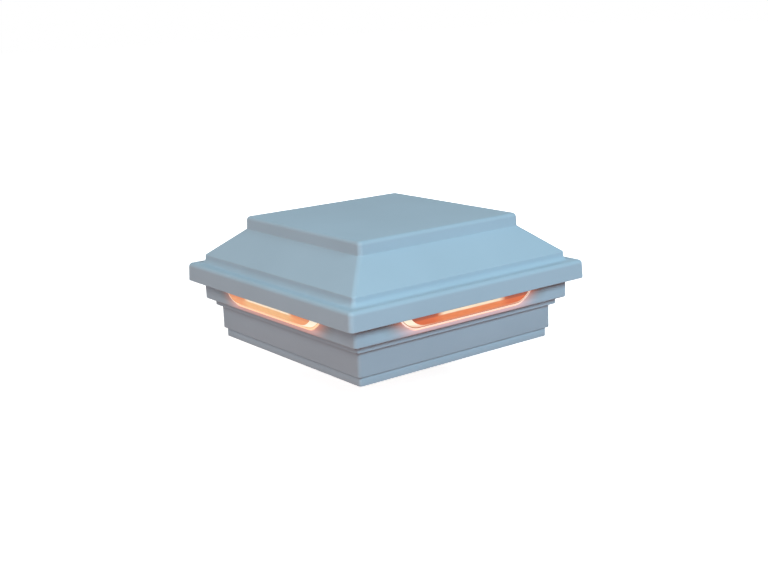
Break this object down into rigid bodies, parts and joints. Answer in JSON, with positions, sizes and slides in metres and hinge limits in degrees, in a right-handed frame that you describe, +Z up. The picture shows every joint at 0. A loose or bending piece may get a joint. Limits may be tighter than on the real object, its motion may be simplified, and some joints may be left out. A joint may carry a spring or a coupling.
{
  "type": "deck post cap light",
  "caption": "Square low-profile cap light for a deck post: lift-off pyramid lid with overhanging flange, windowed collar with glowing lenses, and a skirt that fits over the post.",
  "frame": {"origin": "middle of the underside, at the bottom of the adapter's rim", "axes": "+Z up along the post, the front is the side at -Y, the sides are alike"},
  "size_m": [0.1472, 0.1472, 0.0645],
  "materials": {
    "moulded_shell": "satin moulded, pale blue-grey",
    "black_rubber": "soft matte rubber",
    "amber_lens": "translucent moulded polycarbonate, lit",
    "frosted_bar": "frosted acrylic, lit",
    "white_board": "white solder mask",
    "emitters": "yellow phosphor in white cups, lit",
    "bracket_aluminium": "mill finish sheet",
    "screw_steel": "zinc plated",
    "driver_plastic": "moulded black ABS",
    "green_board": "green solder mask",
    "chip_epoxy": "moulded epoxy",
    "capacitor_sleeve": "shrunk film sleeve",
    "ferrite": "sintered ferrite",
    "socket_nylon": "natural nylon",
    "red_insulation": "PVC insulation",
    "black_insulation": "PVC insulation"
  },
  "bodies": {
    "base": {"lid_gasket": "black_rubber", "base_housing": "moulded_shell", "wire_grommet": "black_rubber", "lens_front": "amber_lens", "lens_right": "amber_lens", "lens_back": "amber_lens", "lens_left": "amber_lens", "light_bar_front": "frosted_bar", "light_bar_right": "frosted_bar", "light_bar_back": "frosted_bar", "light_bar_left": "frosted_bar", "led_board_front": "white_board", "led_board_right": "white_board", "led_board_back": "white_board", "led_board_left": "white_board", "leds_front": "emitters", "leds_right": "emitters", "leds_back": "emitters", "leds_left": "emitters", "led_bracket": "bracket_aluminium", "bracket_screws": "screw_steel", "driver_tray": "driver_plastic", "driver_board": "green_board", "driver_cover": "driver_plastic", "driver_screws": "screw_steel", "bridge_rectifier": "chip_epoxy", "smoothing_capacitor": "capacitor_sleeve", "choke": "ferrite", "regulator_chip": "chip_epoxy", "supply_socket": "socket_nylon", "output_socket": "socket_nylon", "board_jumpers": "red_insulation", "driver_lead": "black_insulation"},
    "lid": {"lid": "moulded_shell"},
    "adapter": {"post_adapter": "moulded_shell"}
  },
  "joints": [
    {"name": "lid_lift", "type": "slide", "parent": "base", "child": "lid", "axis": [0, 0, 1], "range_m": [0, 0.06]},
    {"name": "adapter_pull", "type": "slide", "parent": "base", "child": "adapter", "axis": [0, 0, -1], "range_m": [0, 0.03]}
  ]
}
